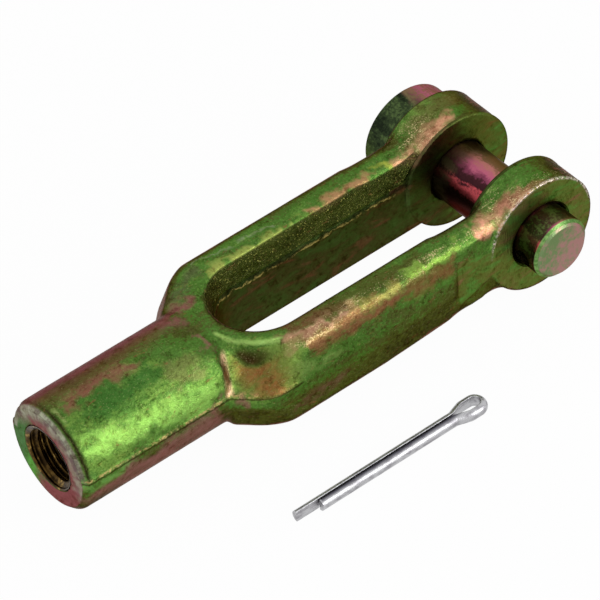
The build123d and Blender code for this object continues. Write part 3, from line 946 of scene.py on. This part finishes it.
class MeshTools:
    """Small steps that several pieces share. Lengths are in millimetres."""

    @staticmethod
    def add(name: str, data: ID) -> Object:
        """Put a mesh, a curve, a lamp or a camera into the scene as an object at the origin.

        Args:
            name: The object's name.
            data: What it shows.

        Returns:
            The new object.
        """
        piece = bpy.data.objects.new(name, data)
        bpy.context.scene.collection.objects.link(piece)
        return piece

    @staticmethod
    def keep(work: bmesh.types.BMesh, name: str) -> Object:
        """Turn a work mesh into an object.

        Args:
            work: The work mesh, freed here.
            name: The new piece's name.

        Returns:
            The new object.
        """
        mesh = bpy.data.meshes.new(name)
        work.to_mesh(mesh)
        work.free()
        return MeshTools.add(name, mesh)

    @staticmethod
    def copy_of_node(node: str, name: str) -> Object:
        """A copy of a construction node's mesh, with its loose triangles joined at their corners.

        Args:
            node: The node to copy.
            name: The new piece's name.

        Returns:
            The new object.
        """
        work = bmesh.new()
        work.from_mesh(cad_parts[node].data)
        bmesh.ops.remove_doubles(work, verts=work.verts, dist=2 * MERGE)
        return MeshTools.keep(work, name)

    @staticmethod
    def rod(name: str, radius: float, length: float, place: Matrix, segments: int) -> Object:
        """A closed cylinder along its own z axis, put at a place.

        Args:
            name: Its name.
            radius: Its radius.
            length: Its length.
            place: Where its middle goes, and how it is turned.
            segments: Number of sides.

        Returns:
            The new object.
        """
        work = bmesh.new()
        bmesh.ops.create_cone(work, cap_ends=True, segments=segments, radius1=radius * MM,
                              radius2=radius * MM, depth=length * MM, matrix=place)
        return MeshTools.keep(work, name)

    @staticmethod
    def apply_all(piece: Object) -> None:
        """Turn a piece with modifiers into a plain mesh.

        Args:
            piece: The piece, changed in place.
        """
        bpy.context.view_layer.update()
        graph = bpy.context.evaluated_depsgraph_get()
        mesh = bpy.data.meshes.new_from_object(piece.evaluated_get(graph))
        piece.modifiers.clear()
        piece.data = mesh

    @staticmethod
    def cut(piece: Object, cutter: Object) -> None:
        """Cut one solid out of another and drop the cutter.

        Args:
            piece: What is cut.
            cutter: What is cut away.
        """
        step = piece.modifiers.new("cut", "BOOLEAN")
        step.operation = "DIFFERENCE"
        step.object = cutter
        step.solver = "EXACT"
        MeshTools.apply_all(piece)
        bpy.data.objects.remove(cutter)

    @staticmethod
    def use_tree(piece: Object, tree: NodeTree, values: dict) -> None:
        """Run a geometry tree on a piece and keep its result.

        Args:
            piece: Object that gets the tree.
            tree: The geometry tree.
            values: Input values by their names in the tree, numbers in millimetres.
        """
        step = piece.modifiers.new("tree", "NODES")
        step.node_group = tree
        for item in tree.interface.items_tree:
            if item.item_type == "SOCKET" and item.in_out == "INPUT" and item.name in values:
                value = values[item.name]
                step[item.identifier] = value * MM if isinstance(value, float) else value
        MeshTools.apply_all(piece)

    @staticmethod
    def smooth_by_angle(piece: Object, degrees: float) -> None:
        """Smooth shading with edges kept sharp past an angle."""
        piece.data.shade_smooth()
        piece.data.set_sharp_from_angle(angle=math.radians(degrees))


class Tree(Graph):
    """A geometry tree with named inputs."""

    def __init__(self, name: str, sizes: tuple[str, ...], objects: tuple[str, ...] = ()) -> None:
        """Start a tree.

        Args:
            name: Name of the tree.
            sizes: Names of its inputs for lengths.
            objects: Names of its inputs for objects.
        """
        super().__init__(bpy.data.node_groups.new(name, "GeometryNodeTree"))
        kinds = {"Geometry": ("Geometry",), "Float": sizes, "Object": objects}
        for kind, labels in kinds.items():
            for label in labels:
                self.tree.interface.new_socket(label, in_out="INPUT", socket_type=f"NodeSocket{kind}")
        self.tree.interface.new_socket("Geometry", in_out="OUTPUT", socket_type="NodeSocketGeometry")
        self.start = self.node("NodeGroupInput")

    def input(self, name: str) -> Socket:
        """One of the tree's named inputs."""
        return self.out(self.start, name)

    def position(self) -> Socket:
        """Position field."""
        return self.made("GeometryNodeInputPosition")

    def normal(self) -> Socket:
        """Normal field."""
        return self.made("GeometryNodeInputNormal")

    def place(self, geometry: Socket, key: str, value: Socket) -> Socket:
        """Set the points' Position, or move them by an Offset."""
        return self.made("GeometryNodeSetPosition", None, {"Geometry": geometry, key: value})

    def blur(self, geometry: Socket, weight: Socket, rounds: int) -> Socket:
        """Ease a mesh by moving each point towards its neighbours.

        Args:
            geometry: The mesh.
            weight: How far each point takes part, 0 to 1.
            rounds: Number of rounds.

        Returns:
            The eased mesh.
        """
        return self.place(geometry, "Position", self.made(
            "GeometryNodeBlurAttribute", {"data_type": "FLOAT_VECTOR"},
            {"Value": self.position(), "Iterations": rounds, "Weight": weight}))

    def finish(self, geometry: Socket, material: Material) -> NodeTree:
        """Realize, set the material and close the tree.

        Args:
            geometry: The finished mesh.
            material: Its material.

        Returns:
            The closed tree.
        """
        real = self.made("GeometryNodeRealizeInstances", None, {"Geometry": geometry})
        dressed = self.made("GeometryNodeSetMaterial", None, {"Geometry": real, "Material": material})
        self.node("NodeGroupOutput", None, {0: dressed})
        return self.tree


# ------------------------------------------------------------------ the pieces


@dataclass
class Fork:
    """The forging: its skin, its jagged trim lines and its tapped hole. Sizes in millimetres."""

    finish: Material
    thread_finish: Material
    sizes: ForgingSizes
    grid: float = 0.41
    grid_depth: int = 9
    skin_depth: float = 0.10
    ridge_height: float = 0.30
    notch_start: float = -71.5
    notch_end: float = -64.4
    notch_slope: float = 0.55
    notch_place: float = -11.3
    thread_major: float = 6.42
    thread_minor: float = 5.4
    thread_foot: float = -72.5
    thread_inset: float = 0.02
    thread_margin: float = 0.12
    thread_wall: float = 0.25
    flank: tuple[float, float] = (0.06, 0.44)
    countersink: float = 0.8
    pitch: float = 25.4 / 13
    around: int = 96
    along: int = 330

    def build(self) -> list[Object]:
        """Build the forging and its thread.

        Returns:
            The forging and its thread.
        """
        body = self._forging()
        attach(body, "yoke")
        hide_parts("fork")
        thread = self._thread()
        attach(thread, "yoke")
        return [body, thread]

    def _forging(self) -> Object:
        """Resample the forging and give it its skin.

        Returns:
            The dressed forging.
        """
        body = MeshTools.copy_of_node("fork", "forging")
        MeshTools.cut(body, self._drill())
        step = body.modifiers.new("resample", "REMESH")
        step.mode = "SHARP"
        step.octree_depth = self.grid_depth
        step.scale = max(body.dimensions) / (self.grid * MM * 2 ** self.grid_depth)
        step.use_remove_disconnected = False
        MeshTools.apply_all(body)
        MeshTools.use_tree(body, self._skin_tree(), {
            "Skin Depth": self.skin_depth, "Ridge Height": self.ridge_height})
        body.data.shade_smooth()
        return body

    def _drill(self) -> Object:
        """Cylinder that opens the hole for the thread's roots, as far as the pocket's foot.

        Returns:
            The cylinder, to be dropped after the cut.
        """
        start = self.sizes.mouth - 1.0
        middle = (self.thread_foot + start) / 2 * MM
        place = Matrix.Translation((middle, 0, 0)) @ Matrix.Rotation(math.pi / 2, 4, "Y")
        return MeshTools.rod("drill", self.thread_major, self.thread_foot - start, place, self.around)

    def _skin_tree(self) -> NodeTree:
        """Tree that sinks the forged skin unevenly and raises the trim lines.

        Returns:
            The finished tree.
        """
        t = Tree("forged_skin", ("Skin Depth", "Ridge Height"))
        sharp = ForgingZones(t, t.position(), t.normal(), self.sizes)
        forged = 1 - t.either(sharp.machined, sharp.rim, sharp.lip * 0.9)
        eased = self._without_notch(t, sharp)
        for weight, rounds in ((forged * 0.9, 8), (sharp.bend * forged, 60), (sharp.pocket_end, 260),
                               (sharp.pocket_ridge, 40)):
            eased = t.blur(eased, weight, rounds)
        normal = t.normal()
        zones = ForgingZones(t, t.position(), normal, self.sizes)
        swell = t.noise(zones.millimetres, 0.12, 2.0, 0.5)
        lumps = t.noise(zones.millimetres, 0.45, 3.0, 0.55)
        peel = t.noise(zones.millimetres, 0.9, 2.0, 0.6)
        skin = swell * 0.9 + lumps * 0.4 + peel * (0.12 + 1.2 * zones.slot_wall + 1.2 * zones.sparkle)
        sink = skin * t.input("Skin Depth") * (1 - zones.machined)
        punch = t.bell(zones.z + zones.wander, self.sizes.punch_line + 0.4, 0.7) \
            * t.smooth(zones.in_slot, self.sizes.slot_half + 0.9, self.sizes.slot_half + 0.3) \
            * t.smooth(zones.x, self.sizes.jaw_start + 1.0, self.sizes.jaw_start - 1.5)
        crumb = t.smooth(t.noise(zones.millimetres, 1.1, 2.0, 0.7), 0.35, 0.65)
        trim = zones.trim * t.smooth(t.noise(zones.millimetres, 0.8, 3.0, 0.7), 0.4, 0.62) * 0.8
        rise = t.either(punch * crumb, trim) * t.input("Ridge Height")
        return t.finish(t.place(eased, "Offset", t.scale(normal, rise - sink)), self.finish)

    def _without_notch(self, t: Tree, zones: ForgingZones) -> Socket:
        """Fill the narrow notch between the shank and the pocket's rim up to a plain slope.

        Args:
            t: Tree that gets the nodes.
            zones: Masks on the incoming skin.

        Returns:
            The skin with the notch filled.
        """
        slope = zones.z * self.notch_slope + self.notch_place
        depth = t.math("MINIMUM", slope - zones.y, 0.0)
        here = t.smooth(zones.x, self.notch_end, self.notch_end - 1.4) \
            * t.smooth(zones.x, self.notch_start, self.notch_start + 1.5) \
            * t.smooth(zones.z, 9.0, 8.2) * t.smooth(zones.z, 1.2, 2.2) * t.smooth(zones.y, -1.0, -2.0) \
            * t.smooth(zones.from_thread, 5.8, 6.1)
        shift = t.made("ShaderNodeCombineXYZ", None, {"Y": depth * here * MM})
        return t.place(t.input("Geometry"), "Offset", shift)

    def _thread(self) -> Object:
        """Thread turns in the hole, from the countersink through to the slot.

        Returns:
            The dressed thread.
        """
        piece = MeshTools.add("thread_turns", bpy.data.meshes.new("thread_turns"))
        sizes = {"Pitch": self.pitch, "Major Radius": self.thread_major, "Minor Radius": self.thread_minor,
                 "Countersink": self.countersink}
        t = Tree("thread", tuple(sizes))
        grid = t.made("GeometryNodeMeshGrid", None, {
            "Size X": 1.0, "Size Y": 1.0, "Vertices X": self.along, "Vertices Y": self.around + 1}, "Mesh")
        u, v, _ = t.axes(t.position())
        last = 0.5 - 1.5 / (self.along - 1)
        outer = t.math("GREATER_THAN", abs(u), last)
        cosine, sine = (t.math(wave, v * math.tau) for wave in ("COSINE", "SINE"))
        reach = cosine * self.thread_minor
        back = self.sizes.crotch - t.math("SQRT", self.sizes.slot_half ** 2 - reach * reach)
        start = self.sizes.mouth + self.thread_inset
        x = start + t.clamp((u + last) / (2 * last)) * (back - self.thread_margin - start)
        pitch, root, crest, sinking = (t.input(name) / MM for name in sizes)
        whole_turns_before = 100.0
        turn = t.math("FRACT", x / pitch - v + whole_turns_before)
        radius = root - t.smooth(abs(turn - 0.5), *self.flank) * (root - crest)
        radius = t.either(radius, root - (x - start) * (root - crest) / sinking)
        radius = (radius * (1 - outer) + (root + self.thread_wall) * outer) * MM
        place = t.made("ShaderNodeCombineXYZ", None, {"X": x * MM, "Y": radius * cosine, "Z": radius * sine})
        merged = t.made("GeometryNodeMergeByDistance", None, {
            "Geometry": t.place(grid, "Position", place), "Distance": MERGE})
        MeshTools.use_tree(piece, t.finish(merged, self.thread_finish), sizes)
        work = bmesh.new()
        work.from_mesh(piece.data)
        bmesh.ops.recalc_face_normals(work, faces=work.faces)
        work.to_mesh(piece.data)
        work.free()
        piece.data.shade_smooth()
        return piece


@dataclass
class ClevisPin:
    """Headed pin with a chamfered end and a cross hole, turned on a lathe."""

    finish: Material
    sizes: PinSizes
    around: int = 144
    hole_around: int = 48
    corner_steps: int = 5
    sharp_angle: float = 24.0

    def build(self) -> list[Object]:
        """Build the pin.

        Returns:
            The pin alone.
        """
        piece = self._turned()
        MeshTools.cut(piece, self._cross_hole())
        MeshTools.smooth_by_angle(piece, self.sharp_angle)
        piece.data.materials.clear()
        piece.data.materials.append(self.finish)
        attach(piece, "pin")
        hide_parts("clevis_pin")
        return [piece]

    def _profile(self) -> Profile:
        """Half section of the pin, from the end's centre to the head's.

        Returns:
            The points as (radius, place along the pin).
        """
        s = self.sizes
        edge, corner, inner = s.edge_round, s.head_round, s.radius - s.end_chamfer
        points = [(0.0, s.end + 0.06), (inner - 0.5, s.end + 0.03)]
        points += self._arc(inner - edge, s.end + edge, edge, -90, -45)
        points += self._arc(s.radius - edge, s.end + s.end_chamfer + 0.1, edge, -45, 0)
        points += [(s.radius, y) for y in (-14.0, -8.0, 0.0, 8.0, 16.5)]
        points += [(s.radius + 0.12, s.under_head - 0.12), (s.radius + 0.4, s.under_head)]
        points += self._arc(s.head_radius - corner, s.under_head + corner, corner, -90, 0)
        points += self._arc(s.head_radius - corner, s.head_top - corner, corner, 0, 90)
        return points + [(s.head_radius - 2.0, s.head_top), (0.0, s.head_top)]

    def _arc(self, centre: float, place: float, radius: float, start: float, stop: float) -> Profile:
        """Points along a rounded corner of the profile.

        Args:
            centre: Radius at which the corner's centre lies.
            place: Its place along the pin.
            radius: Radius of the corner.
            start: First angle in degrees.
            stop: Last angle.

        Returns:
            The points as (radius, place along the pin).
        """
        steps = self.corner_steps
        angles = [math.radians(start + (stop - start) * i / steps) for i in range(steps + 1)]
        return [(centre + radius * math.cos(a), place + radius * math.sin(a)) for a in angles]

    def _turned(self) -> Object:
        """Spin the profile about the pin's axis.

        Returns:
            The pin without its hole or its material.
        """
        work = bmesh.new()
        points = [work.verts.new((r * MM, y * MM, 0)) for r, y in self._profile()]
        edges = [work.edges.new(pair) for pair in zip(points, points[1:])]
        bmesh.ops.spin(work, geom=points + edges, cent=(0, 0, 0), axis=(0, 1, 0), dvec=(0, 0, 0),
                       angle=math.tau, steps=self.around, use_merge=True)
        bmesh.ops.remove_doubles(work, verts=work.verts, dist=MERGE)
        bmesh.ops.recalc_face_normals(work, faces=work.faces)
        return MeshTools.keep(work, "clevis_pin_turned")

    def _cross_hole(self) -> Object:
        """Drill for the split pin's hole.

        Returns:
            The cylinder, to be dropped after the cut.
        """
        turn = math.radians(90 - self.sizes.hole_turn)
        place = Matrix.Translation((0, self.sizes.hole_place * MM, 0)) @ Matrix.Rotation(turn, 4, "Y")
        return MeshTools.rod("cross_hole", self.sizes.hole_radius, 2 * self.sizes.head_radius, place,
                             self.hole_around)


@dataclass
class SplitPin:
    """Half-round wire folded back on itself round an eye."""

    finish: Material
    sizes: WireSizes
    section_points: int = 20
    bend_points: int = 10
    edge_points: int = 3
    sharp_angle: float = 35.0

    def build(self) -> list[Object]:
        """Build the split pin.

        Returns:
            The split pin alone.
        """
        piece = self._swept()
        MeshTools.smooth_by_angle(piece, self.sharp_angle)
        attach(piece, "yoke")
        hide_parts("split_pin")
        return [piece]

    def _route(self) -> Object:
        """The wire's flat side as a line, from the long leg's tip round the eye and back.

        Returns:
            A curve object, to be dropped after the sweep.
        """
        s, gap = self.sizes, self.sizes.leg_gap / 2
        upper = [(-s.long_leg, gap), (0.0, gap), (s.flare_length, s.eye_half), (s.eye_length, s.eye_half)]
        points = upper + [(x, -y) for x, y in upper[:0:-1]] + [(-s.short_leg, -gap)]
        route = bpy.data.curves.new("route", "CURVE")
        route.dimensions = "3D"
        spline = route.splines.new("POLY")
        spline.points.add(len(points) - 1)
        for point, (x, y) in zip(spline.points, points):
            point.co = (x * MM, y * MM, 0, 1)
        return MeshTools.add("route", route)

    def _swept(self) -> Object:
        """Sweep the half-round section along the route with rounded bends.

        Returns:
            The dressed wire, in its place.
        """
        piece = MeshTools.add("split_pin_wire", bpy.data.meshes.new("split_pin_wire"))
        holder = self._route()
        t = Tree("split_pin", ("Wire Radius", "Wire Edge", "Bend Radius"), ("Route",))
        line = t.made("GeometryNodeObjectInfo", None, {"Object": t.input("Route")}, "Geometry")
        bent = t.made("GeometryNodeFilletCurve", {"mode": "POLY"}, {
            "Curve": line, "Radius": t.input("Bend Radius"), "Count": self.bend_points, "Limit Radius": True})
        section = t.made("GeometryNodeCurveArc", {"mode": "RADIUS"}, {
            "Radius": t.input("Wire Radius"), "Start Angle": math.pi / 2, "Sweep Angle": math.pi,
            "Resolution": self.section_points, "Connect Center": False})
        closed = t.made("GeometryNodeSetSplineCyclic", None, {"Geometry": section, "Cyclic": True})
        edged = t.made("GeometryNodeFilletCurve", {"mode": "POLY"}, {
            "Curve": closed, "Radius": t.input("Wire Edge"), "Count": self.edge_points, "Limit Radius": True})
        swept = t.made("GeometryNodeCurveToMesh", None, {
            "Curve": bent, "Profile Curve": edged, "Fill Caps": True})
        MeshTools.use_tree(piece, t.finish(swept, self.finish), {
            "Route": holder, "Wire Radius": self.sizes.wire_radius, "Wire Edge": self.sizes.wire_edge,
            "Bend Radius": self.sizes.bend_radius})
        bpy.data.objects.remove(holder)
        piece.data.transform(Matrix.Translation([value * MM for value in self.sizes.place]))
        return piece


# --------------------------------------------------------------------- studio


@dataclass
class Studio:
    """White ground, soft light and the camera. Places and distances in metres."""

    ground: float = -0.0123
    ground_size: float = 1.5
    ground_white: float = 0.97
    surroundings: float = 0.6
    lamp_from: Point = (0.42, -0.82, 0.38)
    lamp_aim: Point = (-0.045, 0.0, 0.0)
    lamp_distance: float = 0.55
    lamp_size: tuple[float, float] = (0.34, 0.22)
    lamp_power: float = 1.1
    camera_place: Point = (-0.445526, -0.558588, 0.667029)
    azimuth: float = -35.643
    elevation: float = 44.094
    roll: float = -4.841
    focal_px: float = 5190.67
    frame_px: float = 600.0

    def build(self) -> None:
        """Set the stage."""
        self._floor()
        self._lamp()
        self._world()
        self._camera()
        bpy.context.scene.view_settings.view_transform = "Standard"

    def _floor(self) -> None:
        """A white ground that shows white to the camera but keeps a soft shadow."""
        work = bmesh.new()
        bmesh.ops.create_grid(work, x_segments=1, y_segments=1, size=self.ground_size,
                              matrix=Matrix.Translation((0, 0, self.ground)))
        floor = MeshTools.keep(work, "ground")
        finish = Finish(Surface.GROUND)
        finish.feed("Metallic", 0.0)
        finish.feed("Roughness", 0.9)
        finish.feed("Base Color", (0.92, 0.92, 0.92, 1.0))
        g = finish.graph
        white = g.made("ShaderNodeEmission", None, {"Color": (1, 1, 1, 1), "Strength": 1.0})
        shader = g.made("ShaderNodeMixShader", None, {
            0: g.white_rays() * self.ground_white, 1: g.out(finish.shader), 2: white})
        g.plug(finish.output, "Surface", shader)
        floor.data.materials.append(finish.material)

    def _lamp(self) -> None:
        """A key box at the near side, low over the ground."""
        lamp = bpy.data.lights.new("key", "AREA")
        lamp.shape = "RECTANGLE"
        lamp.size, lamp.size_y = self.lamp_size
        lamp.energy = self.lamp_power
        holder = MeshTools.add("key", lamp)
        away = Vector(self.lamp_from).normalized()
        holder.location = Vector(self.lamp_aim) + away * self.lamp_distance
        holder.rotation_euler = away.to_track_quat("Z", "Y").to_euler()

    def _world(self) -> None:
        """Grey surroundings that the camera and the metal see as white."""
        world = bpy.data.worlds.new("studio")
        world.use_nodes = True
        world.node_tree.nodes.clear()
        g = Graph(world.node_tree)
        grey = self.surroundings + (1 - self.surroundings) * g.white_rays()
        back = g.made("ShaderNodeBackground", None, {"Color": grey, "Strength": 1.0})
        g.node("ShaderNodeOutputWorld", None, {"Surface": back})
        bpy.context.scene.world = world

    def _camera(self) -> None:
        """Camera at its place and angle."""
        azimuth, elevation, roll = (math.radians(a) for a in (self.azimuth, self.elevation, self.roll))
        back = Vector((math.sin(azimuth) * math.cos(elevation), -math.cos(azimuth) * math.cos(elevation),
                       math.sin(elevation)))
        right = (-back).cross(Vector((0, 0, 1))).normalized()
        up = right.cross(-back)
        turned_right = right * math.cos(roll) + up * math.sin(roll)
        turned_up = up * math.cos(roll) - right * math.sin(roll)
        place = Matrix((turned_right, turned_up, back)).transposed().to_4x4()
        place.translation = Vector(self.camera_place)
        camera = bpy.data.cameras.new("camera")
        camera.sensor_width = 36.0
        camera.lens = self.focal_px / self.frame_px * camera.sensor_width
        camera.clip_start = 0.01
        camera.clip_end = 10.0
        holder = MeshTools.add("camera", camera)
        holder.matrix_world = place
        bpy.context.scene.camera = holder


def main() -> None:
    """Build every piece, dress it and set the stage."""
    logging.basicConfig(level=logging.INFO, format="%(name)s: %(message)s")
    forging, pin, wire = ForgingSizes(), PinSizes(), WireSizes()
    parts = [
        Fork(ForgingFinish(ZincPalette(), forging).build(), ThreadFinish().build(), forging),
        ClevisPin(TurnedFinish(pin).build(), pin),
        SplitPin(WireFinish(wire).build(), wire),
    ]
    for part in parts:
        for piece in part.build():
            log.info("%s: %d triangles", piece.name, sum(len(f.vertices) - 2 for f in piece.data.polygons))
    Studio().build()


if __name__ == "__main__":
    main()
